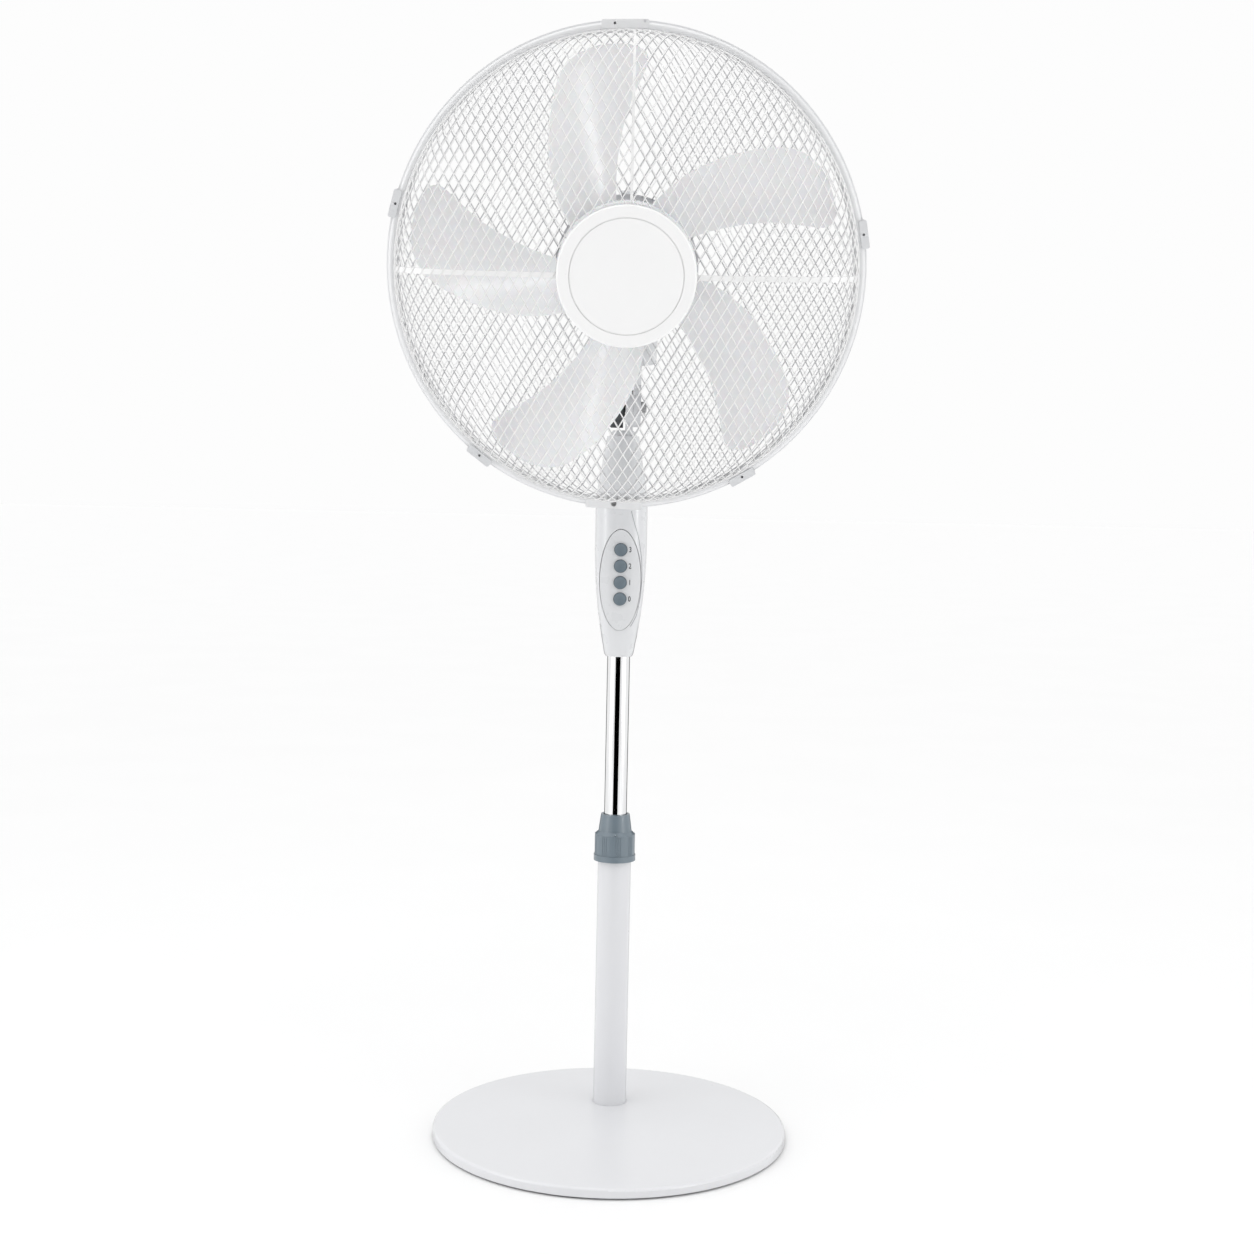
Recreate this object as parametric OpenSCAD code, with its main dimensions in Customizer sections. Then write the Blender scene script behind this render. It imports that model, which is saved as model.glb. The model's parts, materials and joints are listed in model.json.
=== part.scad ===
// Pedestal fan: a caged five-blade head that tilts and swings on a telescopic pole.
// Millimetres. +Z up, front is -Y, origin on the floor under the middle of the base.

/* [Base] */
// Outside diameter of the round base
base_d = 376; // [320:1:440]
// Height of the base disc above the floor
base_h = 11.5; // [10:0.5:16]
// Distance of the pole behind the middle of the base
pole_back = 71; // [55:1:95]

/* [Pole] */
// Outside diameter of the lower tube
tube_d = 36.4; // [32:0.2:44]
// Wall of the lower tube
tube_wall = 1.5; // [1.2:0.1:2]
// Height of the collar's lower edge above the floor
collar_z = 282.5; // [240:0.5:340]
// Outside diameter of the chrome tube
inner_d = 24.6; // [20:0.2:26]
// Length of chrome tube that shows at rest
chrome_show = 173.5; // [140:0.5:210]

/* [Control housing] */
// Height of the housing from its lower end to its shoulder
housing_h = 238; // [225:1:270]
// Full width of the housing at the control panel
housing_w = 56.4; // [54:0.2:64]
// Front-to-back half depth of the housing at the control panel
housing_half_depth = 28; // [26:0.5:32]
// Diameter of a push button
button_d = 13.6; // [11:0.1:14.6]
// Spacing of the push buttons
button_pitch = 17.6; // [16.4:0.1:20]
// Push of a button
button_push = 2.5; // [1.5:0.1:3]

/* [Tilt joint] */
// Diameter of the tilt knob
tilt_knob_d = 42; // [36:1:46]
// Nose-down tilt of the head as it stands
tilt_rest = 10; // [0:1:12]

/* [Head] */
// Outside diameter of the cage
grille_d = 480; // [420:2:560]
// Depth of the front grille
front_depth = 82; // [72:1:98]
// Depth of the rear grille
rear_depth = 62; // [58:1:74]
// Height of the motor axis above the tilt pivot
motor_up = 152; // [146:1:180]
// Diameter of the motor cover
motor_d = 132; // [126:1:156]
// Diameter of the round plate in the middle of the front grille
medallion_d = 135; // [112:1:160]
// Thickness of the wire mesh
wire_t = 0.8; // [0.6:0.1:1.4]

/* [Hidden] */
$fn = 96;

white = [0.93, 0.93, 0.93];
dark = [0.34, 0.36, 0.38];
slate = [0.45, 0.50, 0.53];
steel = [0.75, 0.75, 0.77];
alloy = [0.66, 0.67, 0.69];
copper = [0.72, 0.43, 0.22];

slip = 0.06;
skin = 2.2;

base_r = base_d / 2;
foot_h = 3;
cover_t = 1.6;
weight_top = base_h - cover_t - 0.1;
tube_r = tube_d / 2;
tube_in = tube_r - tube_wall;
inner_r = inner_d / 2;
collar_h = 51;
collar_wall = 2;
seat_r = tube_r + 1.8;
collar_r = seat_r + slip + collar_wall;
tube_top = collar_z + 18;
housing_z = collar_z + collar_h + chrome_show;
housing_top = housing_z + housing_h;
bush_h = 30;
inner_low = collar_z - 90;
neck_low = housing_top - 56;
pivot_z = housing_top + 30;
half_w = housing_w / 2;
half_d = housing_half_depth;
screw_up = [78, housing_h - 72];

ear_r = 20;
ear_t = 8;
ear_x = 2;
stud_r = 4;
knob_r = tilt_knob_d / 2;
knob_t = 17;
yoke_low = knob_r + 3;
yoke_top = yoke_low + 21;
pan_pin_r = 6;
chin_low = yoke_top + 4;

rim_r = grille_d / 2;
rim_ahead = 110;
rim_w = rim_ahead;
mount_w = rim_w - rear_depth;
mesh_r = rim_r - 9.3;
medallion_r = medallion_d / 2;
hub_r = 70 * medallion_r / 67.5;
blade_r = rim_r - 22;
blade_w = rim_w + 1;
shaft_r = 4;
boss_r = 15;
motor_r = motor_d / 2;
frame_r = motor_r - 10;
stator_r = frame_r - 4.2;
rotor_r = stator_r / 2;
crank_back = 30;
crank_arm = 21;
gear_low = -(frame_r + 18);
crank_y = gear_low - 8;
pan_y = yoke_top - motor_up;

module at_pole() {
    translate([0, pole_back, 0]) children();
}

module at_pivot() {
    translate([0, pole_back, pivot_z]) rotate([tilt_rest, 0, 0]) children();
}

// Motor frame: local z runs forward along the shaft, y up, x to the right.
module at_motor() {
    at_pivot() translate([0, 0, motor_up]) rotate([90, 0, 0]) children();
}

// Cylinder along local x between two stations.
module bar_x(r, x0, x1) {
    translate([x0, 0, 0]) rotate([0, 90, 0]) cylinder(r = r, h = x1 - x0);
}

// Upright cylinder inside the motor frame.
module bar_y(r, y0, y1) {
    translate([0, y0, 0]) rotate([-90, 0, 0]) cylinder(r = r, h = y1 - y0);
}

module disc(r, z0, z1) {
    translate([0, 0, z0]) cylinder(r = r, h = z1 - z0);
}

module ring(r1, r2, z0, z1) {
    difference() {
        disc(r2, z0, z1);
        disc(r1, z0 - 1, z1 + 1);
    }
}

// ---------- base and lower tube ----------

module base_cover() {
    color(white) difference() {
        rotate_extrude() union() {
            translate([0, foot_h - 0.9]) square([base_r - 3, base_h - foot_h + 0.9]);
            translate([0, foot_h - 0.9]) square([base_r, base_h - foot_h - 2.1]);
            translate([base_r - 3, base_h - 3]) circle(r = 3);
        }
        disc(base_r - 3.6, 0, weight_top + 0.1);
        translate([0, pole_back, 0]) disc(5, 0, base_h + 1);
        translate([0, pole_back, 0]) ring(tube_r + 0.6, tube_r + 1.4, base_h - 0.5, base_h + 1);
    }
}

module base_weight() {
    color(dark) difference() {
        disc(base_r - 3.8, foot_h - 0.5, weight_top);
        translate([0, pole_back, 0]) disc(4.3, 0, base_h);
        translate([0, pole_back, foot_h - 0.6]) cylinder(r1 = 9.4, r2 = 4.3, h = 4.6);
        ring(base_r - 22.1, base_r - 9.9, 0, foot_h + 0.5);
        difference() {
            disc(base_r - 30, 0, foot_h + 2.6);
            translate([0, pole_back, 0]) disc(24, -1, base_h);
        }
    }
}

module foot_ring() {
    color(dark) ring(base_r - 22, base_r - 10, 0, foot_h + 0.45);
}

module tube_plug() {
    color(steel) at_pole() difference() {
        disc(tube_in - 0.02, base_h, base_h + 16);
        disc(4.05, base_h - 1, base_h + 17);
    }
}

module base_screw() {
    color(steel) at_pole() difference() {
        union() {
            translate([0, 0, foot_h - 0.3]) cylinder(r1 = 8.8, r2 = 4, h = 4.4);
            disc(4, foot_h + 4, base_h + 14);
        }
        translate([0, 0, foot_h - 0.4]) cylinder(r = 3, h = 2.6, $fn = 6);
    }
}

module lower_tube() {
    color(white) at_pole() ring(tube_in, tube_r, base_h, tube_top);
}

// Slotted plastic seat: its fingers are squeezed on the chrome tube by the collar.
module collar_seat() {
    color(white) at_pole() difference() {
        union() {
            disc(seat_r, collar_z + 2, collar_z + 28);
            translate([0, 0, collar_z + 28])
                cylinder(r1 = inner_r + 4.1, r2 = inner_r + 1.9, h = 15);
        }
        disc(tube_r + 0.03, collar_z, tube_top + 0.03);
        disc(inner_r + slip, collar_z, collar_z + 50);
        for (a = [0, 90])
            rotate([0, 0, a]) translate([-seat_r, -1, collar_z + 26]) cube([2 * seat_r, 2, 20]);
    }
}

module height_collar() {
    color(slate) at_pole() difference() {
        union() {
            disc(collar_r + 0.8, collar_z, collar_z + 6.5);
            disc(collar_r, collar_z + 6.5, collar_z + 29);
            translate([0, 0, collar_z + 29])
                cylinder(r1 = collar_r - 0.4, r2 = inner_r + 5.9, h = 3.4);
            translate([0, 0, collar_z + 32.4])
                cylinder(r1 = inner_r + 5.9, r2 = inner_r + 3.9, h = 14.6);
            translate([0, 0, collar_z + 47])
                cylinder(r1 = inner_r + 3.9, r2 = inner_r + 3.3, h = 4);
            translate([0, -collar_r + 1.2, collar_z + 30.5]) sphere(r = 1.6);
        }
        disc(seat_r + slip, collar_z - 1, collar_z + 28.5);
        translate([0, 0, collar_z + 28.4])
            cylinder(r1 = inner_r + 4.5, r2 = inner_r + 2.3, h = 15);
        disc(inner_r + 0.9, collar_z + 40, collar_z + 60);
        for (i = [0:8]) for (j = [-1:1])
            rotate([0, 0, 40 * i + 6 * j]) translate([collar_r + 0.35, 0, collar_z + 7.5])
                cylinder(r = 0.8, h = 20.5);
    }
}

// ---------- chrome tube and control housing ----------

module inner_tube() {
    color(steel) at_pole() ring(inner_r - 1.2, inner_r, inner_low, neck_low + 30);
}

module tube_bush() {
    color(dark) at_pole() ring(inner_r + 0.02, tube_in - slip, inner_low, inner_low + bush_h);
}

// Half width and half depth of the housing against height fraction f.
function pick(f, t, i = 0) =
    f <= t[i + 1][0] || i == len(t) - 2
        ? t[i][1] + (t[i + 1][1] - t[i][1]) * (f - t[i][0]) / (t[i + 1][0] - t[i][0])
        : pick(f, t, i + 1);

mouth_r = inner_r + skin - 0.4;
width_t = [[0, mouth_r / half_w], [0.01, (mouth_r + 1.55) / half_w], [0.05, 0.62],
    [0.12, 0.73], [0.25, 0.88], [0.37, 0.96],
    [0.5, 1], [0.66, 1], [0.76, 0.94], [0.88, 0.77], [1, 0.61]];
depth_t = [[0, (mouth_r - 0.1) / half_d], [0.01, (mouth_r + 1.44) / half_d], [0.05, 0.66],
    [0.12, 0.84], [0.16, 1], [0.6, 1],
    [0.72, 0.93], [0.88, 0.74], [1, 0.62]];
levels = [0, 0.01, 0.04, 0.08, 0.12, 0.16, 0.25, 0.37, 0.5, 0.6, 0.66, 0.72, 0.79, 0.88, 1];
arcs = 20;
bulge = 2.5;

// One point of a rounded-box section, s = 1 front or -1 rear, t thickness taken off.
function section(f, a, s, t) =
    let (w = half_w * pick(f, width_t) - t, d = half_d * pick(f, depth_t) - t,
        c = cos(a), n = sin(a), k = pow(pow(abs(c), bulge) + pow(abs(n), bulge), 1 / bulge))
    [w * c / k, -s * d * n / k, housing_z + f * housing_h];

// Closed half shell between an outer and an inner skin.
module half_shell(s, cut) {
    rows = len(levels);
    cols = arcs + 1;
    outer = [for (f = levels) for (i = [0:arcs])
        let (p = section(f, 180 * i / arcs, s, 0)) [p[0], s > 0 ? min(p[1], -cut)
            : max(p[1], cut), p[2]]];
    inner = [for (f = levels) for (i = [0:arcs])
        let (p = section(f, 180 * i / arcs, s, skin)) [p[0], s > 0 ? min(p[1], -cut)
            : max(p[1], cut), p[2]]];
    n = rows * cols;
    flip = s > 0;
    quad_list = concat(
        [for (r = [0:rows - 2]) for (c = [0:cols - 2])
            [r * cols + c, r * cols + c + 1, (r + 1) * cols + c + 1, (r + 1) * cols + c]],
        [for (r = [0:rows - 2]) for (c = [0:cols - 2])
            [n + r * cols + c, n + (r + 1) * cols + c, n + (r + 1) * cols + c + 1,
                n + r * cols + c + 1]],
        [for (c = [0:cols - 2]) [c, n + c, n + c + 1, c + 1]],
        [for (c = [0:cols - 2]) let (b = (rows - 1) * cols)
            [b + c, b + c + 1, n + b + c + 1, n + b + c]],
        [for (r = [0:rows - 2]) [r * cols, (r + 1) * cols, n + (r + 1) * cols, n + r * cols]],
        [for (r = [0:rows - 2]) let (e = cols - 1)
            [r * cols + e, n + r * cols + e, n + (r + 1) * cols + e, (r + 1) * cols + e]]);
    tris = [for (q = quad_list) for (h = [0, 1])
        h == 0 ? [q[0], q[1], q[2]] : [q[0], q[2], q[3]]];
    polyhedron(points = concat(outer, inner),
        faces = [for (t = tris) flip ? [t[0], t[1], t[2]] : [t[2], t[1], t[0]]]);
}

panel_z = housing_z + 84;
panel_half_w = 0.78 * half_w;
panel_half_h = 54;
button_r = button_d / 2;
button_top = panel_z + 1.85 * button_pitch;

module oval(w, h) {
    polygon([for (i = [0:63]) [w * cos(360 * i / 64), h * sin(360 * i / 64)]]);
}

module oval_prism(grow) {
    translate([0, 0, panel_z]) rotate([90, 0, 0])
        linear_extrude(height = half_d + 10) oval(panel_half_w + grow, panel_half_h + grow);
}

module housing_front() {
    color(white) at_pole() difference() {
        half_shell(1, 0.1);
        oval_prism(0.3);
    }
}

module housing_rear() {
    color(white) at_pole() difference() {
        half_shell(-1, 0.1);
        translate([0, 0, housing_z + 40]) rotate([-90, 0, 0]) cylinder(r = 5, h = half_d + 5);
        for (z = screw_up)
            translate([0, 0, housing_z + z]) rotate([-90, 0, 0]) cylinder(r = 2.1, h = half_d + 5);
    }
}

module control_panel() {
    color(white) at_pole() difference() {
        intersection() {
            oval_prism(0);
            translate([0, 60 - half_d - 0.8, panel_z - 60]) ring(57.2, 60, 0, 120);
        }
        for (i = [0:3])
            translate([0, 0, button_top - i * button_pitch]) rotate([90, 0, 0])
                cylinder(r = button_r + 0.35, h = half_d + 5);
    }
}

module switch_block() {
    color(dark) at_pole() difference() {
        translate([-10, -half_d + 8, button_top - 3.5 * button_pitch])
            cube([20, half_d - 8 - inner_r - 0.5, 4 * button_pitch]);
        for (i = [0:3])
            translate([0, -half_d + 11, button_top - i * button_pitch]) rotate([90, 0, 0])
                cylinder(r = 2.3, h = 20);
    }
}

// Cap with a stem that runs in the switch block; it stops short of the block when pushed.
module push_button(i) {
    face = half_d + 3.2;
    color(slate) at_pole() translate([0, 0, button_top - i * button_pitch])
        rotate([90, 0, 0]) difference() {
            union() {
                disc(button_r, half_d - 8 + button_push + 1, face);
                disc(2.2, half_d - 8 - 0.2, face - 2);
            }
            translate([0, 0, face + 19.2]) sphere(r = 20);
        }
}

module button_0() {
    push_button(0);
}

module button_1() {
    push_button(1);
}

module button_2() {
    push_button(2);
}

module button_3() {
    push_button(3);
}

module housing_screws() {
    color(steel) at_pole() for (z = screw_up) {
        y_out = half_d * pick(z / housing_h, depth_t);
        translate([0, 0, housing_z + z]) rotate([-90, 0, 0]) union() {
            disc(2, inner_r + 0.1, y_out + 1);
            difference() {
                disc(3.6, y_out + 0.3, y_out + 2.4);
                translate([-0.5, -5, y_out + 1.4]) cube([1, 10, 3]);
            }
        }
    }
}

module cord_gland() {
    y_out = half_d * pick(40 / housing_h, depth_t);
    color(dark) at_pole() translate([0, 0, housing_z + 40]) rotate([-90, 0, 0]) difference() {
        union() {
            disc(4.9, y_out - 5, y_out + 1);
            disc(6.4, y_out + 0.02, y_out + 4);
        }
        disc(3.2, 0, y_out + 5);
    }
}

// ---------- tilt joint ----------

module neck_core() {
    color(white) at_pole() difference() {
        union() {
            disc(0.52 * half_w, neck_low, pivot_z - knob_r - 8);
            translate([0, 0, pivot_z - knob_r - 8])
                cylinder(r1 = 0.52 * half_w, r2 = 0.4 * half_w, h = 5);
            translate([ear_x, -13, pivot_z - knob_r - 12]) cube([ear_t, 26, knob_r + 12]);
            translate([0, 0, pivot_z]) bar_x(ear_r, ear_x, ear_x + ear_t);
        }
        disc(inner_r + 0.03, neck_low - 1, neck_low + 30.02);
        disc(6, neck_low, pivot_z - knob_r - 10);
        translate([0, 0, pivot_z]) bar_x(stud_r + slip, -30, 30);
        translate([ear_x + ear_t, -40, pivot_z - ear_r - 3]) cube([30, 80, 80]);
    }
}

module tilt_knob() {
    x0 = ear_x - 0.4 - knob_t;
    color(dark) at_pivot() difference() {
        union() {
            bar_x(knob_r, x0 + 2, ear_x - 2.4);
            translate([x0, 0, 0]) rotate([0, 90, 0])
                cylinder(r1 = knob_r - 2.5, r2 = knob_r, h = 2);
            bar_x(13, ear_x - 3, ear_x - 0.4);
        }
        bar_x(stud_r + 0.01, x0 + 4, ear_x + 1);
        for (i = [0:17])
            rotate([20 * i, 0, 0]) translate([x0 - 1, 0, knob_r + 0.9])
                rotate([0, 90, 0]) cylinder(r = 2.2, h = knob_t);
    }
}

module tilt_stud() {
    color(steel) at_pivot() bar_x(stud_r, ear_x - 0.4 - knob_t + 4, ear_x + 2 * ear_t + 6.5);
}

module tilt_bracket() {
    x0 = ear_x + ear_t + 0.35;
    x1 = x0 + ear_t;
    color(white) at_pivot() difference() {
        union() {
            bar_x(ear_r, x0, x1);
            translate([x0, -13, 0]) cube([ear_t, 26, yoke_low + 2]);
            disc(x1, yoke_low, yoke_top);
            translate([-12, 0, yoke_top - 5]) cube([24, crank_back + crank_arm + 10, 5]);
        }
        bar_x(stud_r + slip, -30, 30);
        disc(pan_pin_r + 0.01, yoke_low + 4, yoke_top + 1);
        translate([-4.3, 26, yoke_top - 6]) cube([8.6, crank_back + crank_arm - 19, 7]);
        translate([0, 26, 0]) disc(4.3, yoke_top - 6, yoke_top + 1);
        translate([0, crank_back + crank_arm + 2.5, 0]) disc(4.3, yoke_top - 6, yoke_top + 1);
    }
}

module tilt_nut() {
    x1 = ear_x + 2 * ear_t + 0.37;
    color(steel) at_pivot() difference() {
        translate([x1, 0, 0]) rotate([0, 90, 0]) cylinder(r = 7.5, h = 5, $fn = 6);
        bar_x(stud_r + slip, x1 - 1, x1 + 6);
    }
}

module pan_pin() {
    color(steel) at_pivot() disc(pan_pin_r, yoke_low + 4, motor_up - frame_r - 9);
}

// ---------- motor ----------

module motor_front_plate() {
    color(alloy) at_motor() difference() {
        union() {
            disc(frame_r + 2, mount_w - 10, mount_w - 1.6);
            disc(boss_r, mount_w - 2, mount_w + 10);
            ring(boss_r + 6, boss_r + 9, mount_w - 16, mount_w - 9);
        }
        disc(8.02, mount_w - 20, mount_w + 20);
        for (i = [0:3])
            rotate([0, 0, 45 + 90 * i]) translate([frame_r - 6, 0, mount_w - 12])
                cylinder(r = 2.2, h = 12);
    }
}

module motor_frame() {
    front = mount_w - 10.05;
    color(alloy) at_motor() difference() {
        union() {
            ring(frame_r - 4, frame_r, -26, front);
            disc(frame_r, -26, -21);
            disc(13, -34, -21);
            bar_y(13, pan_y + 1, -frame_r + 3);
        }
        disc(8.02, -40, 0);
        bar_y(pan_pin_r + slip, pan_y, -frame_r - 7);
        for (i = [0:7])
            rotate([0, 0, 22.5 + 45 * i]) translate([frame_r - 18, 0, -30])
                cylinder(r = 6, h = 12);
    }
}

module stator_core() {
    color(steel) at_motor() difference() {
        disc(stator_r + 0.15, -8, mount_w - 26);
        disc(rotor_r + 0.6, -9, mount_w - 25);
        for (i = [0:15])
            rotate([0, 0, 22.5 * i]) translate([rotor_r + 9, 0, -9])
                cylinder(r = 3.4, h = mount_w - 16);
    }
}

module stator_windings() {
    color(copper) at_motor() union() {
        for (z = [-17, mount_w - 25.9])
            ring(rotor_r + 5, stator_r - 6, z, z + 8.9);
        for (i = [0:15])
            rotate([0, 0, 22.5 * i]) translate([rotor_r + 9, 0, -9])
                cylinder(r = 3.3, h = mount_w - 16);
    }
}

module shaft_bushes() {
    color([0.7, 0.55, 0.3]) at_motor() union() {
        ring(shaft_r + slip, 8, -33, -22);
        ring(shaft_r + slip, 8, mount_w - 10, mount_w + 9);
    }
}

module gearbox_case() {
    color(dark) at_motor() difference() {
        union() {
            translate([-18, 4 - frame_r, -66]) cube([36, 26 + frame_r, 30]);
            translate([-18, gear_low, -52]) cube([36, 26, 16]);
            translate([-14, gear_low, -37]) cube([28, 16, 17]);
        }
        disc(shaft_r + 0.5, -48, -30);
        translate([0, 0, -50]) bar_y(3 + slip, 6, 31);
        translate([0, 0, -crank_back]) bar_y(4 + slip, gear_low - 1, gear_low + 14);
        disc(1.6, -67, -58);
    }
}

module chin(r, y0, y1) {
    bar_y(r, y0, y1);
    translate([0, 0, -28]) bar_y(r, y0, y1);
    translate([-r, y0, -28]) cube([2 * r, y1 - y0, 28]);
}

module motor_cover() {
    back = -86;
    chin_y = chin_low - motor_up;
    color(white) at_motor() union() {
        ring(2.3, 6, back + 2, -66.1);
        difference() {
            union() {
                disc(motor_r, -70, mount_w - 3);
                translate([0, 0, back + 8]) cylinder(r1 = motor_r - 6, r2 = motor_r, h = 8.1);
                translate([0, 0, back]) cylinder(r1 = motor_r - 18, r2 = motor_r - 6, h = 8.1);
                chin(34, chin_y, 0);
            }
            disc(motor_r - 2.5, -69, mount_w);
            translate([0, 0, back + 9]) cylinder(r1 = motor_r - 8.5, r2 = motor_r - 2.5, h = 8.2);
            translate([0, 0, back + 2.5]) cylinder(r1 = motor_r - 18, r2 = motor_r - 8.5, h = 6.6);
            chin(31.5, chin_y - 1, -10);
            translate([0, 0, -50]) bar_y(4.5, 40, motor_r + 5);
            disc(2.3, back - 1, back + 8);
            for (k = [-1, 1]) for (i = [0:4])
                translate([k * 30 - 14, -24 + 12 * i, back - 2]) cube([28, 4, 12]);
        }
    }
}

module cover_screw() {
    color(steel) at_motor() difference() {
        union() {
            disc(4, -88.2, -86.02);
            disc(1.55, -86.1, -59);
        }
        translate([-0.5, -5, -88.3]) cube([1, 10, 1.2]);
    }
}

// ---------- cage ----------

// Depth of a domed grille against the fraction of its radius.
function dome(x) = pow(1 - pow(x, 3.5), 0.27);
steps = [0, 0.12, 0.24, 0.36, 0.48, 0.58, 0.67, 0.75, 0.82, 0.88, 0.93, 0.965, 0.985, 0.996, 1];

function front_line(t) =
    let (r = mesh_r - t, d = front_depth - t, x0 = 60 / mesh_r)
    [for (s = steps) let (x = x0 + (1 - x0) * s) [r * x, rim_w + 2 + (d - 2) * dome(x)]];

function rear_line(t) =
    let (r = mesh_r - t, d = rear_depth - t, x0 = 72 / mesh_r)
    [for (s = steps) let (x = x0 + (1 - x0) * s) [r * x, rim_w - 2 - (d - 2) * dome(x)]];

function turned(a, b) = concat(a, [for (i = [len(b) - 1:-1:0]) b[i]]);

module front_shell(t0, t1) {
    rotate_extrude() polygon(turned(front_line(t0), front_line(t1)));
}

module rear_mesh() {
    color(white) at_motor() rotate_extrude() polygon(turned(rear_line(0), rear_line(wire_t)));
}

module front_mesh() {
    color(white) at_motor() front_shell(0, wire_t);
}

module front_ribs() {
    color(white) at_motor() intersection() {
        front_shell(wire_t + 0.2, wire_t + 3);
        union() {
            for (k = [0, 1])
                mirror([k, 0, 0]) translate([65, -2.6, rim_w + 12]) cube([rim_r, 5.2, 120]);
            translate([2, 65, rim_w + 12]) cube([2.6, rim_r, 120]);
        }
    }
}

module rear_plate() {
    color(white) at_motor() difference() {
        disc(74, mount_w - 1.5, mount_w - 0.05);
        disc(boss_r + 0.3, mount_w - 3, mount_w + 3);
        for (i = [0:3])
            rotate([0, 0, 45 + 90 * i]) translate([frame_r - 6, 0, mount_w - 3])
                cylinder(r = 2.2, h = 6);
    }
}

module grille_nut() {
    color(dark) at_motor() difference() {
        union() {
            disc(30, mount_w, mount_w + 3);
            disc(25, mount_w + 3, mount_w + 8.5);
            for (i = [0:5])
                rotate([0, 0, 60 * i]) translate([25, 0, mount_w + 3]) cylinder(r = 4, h = 5.5);
        }
        disc(boss_r + 0.03, mount_w - 1, mount_w + 12);
    }
}

pin_r = 1;
clip_r = rim_r - 1.5;
clip_w = rim_w - 12;
clip_half = 14;

// Places a piece at an angle round the rim: local x outward, y along the rim, z forward.
module at_rim(a) {
    at_motor() rotate([0, 0, a]) children();
}

module rear_rim() {
    color(white) at_motor() union() {
        difference() {
            rotate_extrude() union() {
                translate([rim_r - 9, rim_w - 8]) square([7, 7.9]);
                translate([rim_r - 2.5, rim_w - 7]) square([2.5, 6]);
                translate([rim_r - 2.5, rim_w - 7]) circle(r = 1);
            }
            rotate_extrude() translate([rim_r - 7, rim_w - 6.5]) square([4, 5]);
        }
        for (a = [10, 165, 232, 301])
            rotate([0, 0, a]) {
                for (k = [0, 1])
                    mirror([0, k, 0]) translate([rim_r - 5, clip_half + 0.4, rim_w - 14.5])
                        cube([5, 2.4, 7]);
                translate([clip_r, clip_half + 2.6, clip_w]) rotate([90, 0, 0])
                    cylinder(r = pin_r, h = 2 * clip_half + 5.2);
            }
    }
}

module front_rim() {
    color(white) at_motor() difference() {
        union() {
            rotate_extrude() union() {
                translate([rim_r - 9, rim_w]) square([7, 4.5]);
                translate([rim_r - 5.5, rim_w + 4.5]) circle(r = 3.4);
            }
            rotate([0, 0, 91.5]) rounded(rim_r - 8.8, rim_r - 0.4, 23, rim_w + 1, rim_w + 9.5, 2);
            rotate([0, 0, 268]) rounded(rim_r - 8.8, rim_r - 0.4, 29, rim_w + 1, rim_w + 9.5, 2);
        }
        rotate([0, 0, 91.5]) {
            translate([rim_r - 4, 10, rim_w + 4]) disc(1.3, 0, 8);
            translate([rim_r - 3.5, -20, rim_w + 6]) cube([4, 2, 5]);
        }
        rotate([0, 0, 268]) translate([rim_r - 5.5, 0, rim_w - 2]) disc(1.7, 0, 14);
    }
}

module rim_screw() {
    color(steel) at_rim(268) translate([rim_r - 5.5, 0, 0]) difference() {
        union() {
            disc(1.5, rim_w + 0.1, rim_w + 9.6);
            disc(2.6, rim_w + 9.52, rim_w + 11);
        }
        translate([-0.4, -5, rim_w + 10.2]) cube([0.8, 10, 2]);
    }
}

// Bar with rounded corners, seen along z.
module rounded(x0, x1, y, z0, z1, r) {
    translate([x0 + r, -y, z0]) cube([x1 - x0 - 2 * r, 2 * y, z1 - z0]);
    translate([x0, r - y, z0]) cube([x1 - x0, 2 * (y - r), z1 - z0]);
    for (x = [x0 + r, x1 - r]) for (v = [r - y, y - r])
        translate([x, v, z0]) cylinder(r = r, h = z1 - z0);
}

// Latch that turns on a pin at the back of the rim and hooks over the front rim.
module clip(a) {
    reach = rim_w + 8.6;
    color(white) at_rim(a) difference() {
        union() {
            difference() {
                rounded(rim_r - 6, rim_r + 1.95, clip_half, clip_w - 2.6, reach + 2.4, 2);
                translate([rim_r - 30, -30, clip_w - 3]) cube([30.35, 60, reach - clip_w + 3]);
            }
            translate([clip_r, clip_half - 2, clip_w]) rotate([90, 0, 0])
                cylinder(r = 2.6, h = 2 * clip_half - 4);
            translate([clip_r, 2 - clip_half, clip_w - 2.6]) cube([3, 2 * clip_half - 4, 2.6]);
        }
        translate([clip_r, clip_half + 1, clip_w]) rotate([90, 0, 0])
            cylinder(r = pin_r + slip, h = 2 * clip_half + 2);
        translate([rim_r - 2.6, 0, reach - 1]) cylinder(r = 1.3, h = 6);
    }
}

module clip_left() {
    clip(165);
}

module clip_right() {
    clip(10);
}

module clip_low_left() {
    clip(232);
}

module clip_low_right() {
    clip(301);
}

module front_plate() {
    color(white) at_motor() difference() {
        disc(62, rim_w + front_depth - 3.3, rim_w + front_depth - 1.7);
        for (i = [0:2])
            rotate([0, 0, 90 + 120 * i]) translate([40, 0, rim_w + front_depth - 5])
                cylinder(r = 3.1, h = 6);
    }
}

module medallion() {
    z0 = rim_w + front_depth + 0.3;
    color(white) at_motor() difference() {
        union() {
            disc(medallion_r, z0, z0 + 2.2);
            translate([0, 0, z0 + 2.2])
                cylinder(r1 = medallion_r, r2 = medallion_r - 1.5, h = 1.5);
            for (i = [0:2])
                rotate([0, 0, 90 + 120 * i]) translate([40, 0, z0 - 5.5]) cylinder(r = 3, h = 6);
        }
        ring(medallion_r - 12.8, medallion_r - 12, z0 + 2.4, z0 + 6);
    }
}

// ---------- rotor and blades ----------

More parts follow.
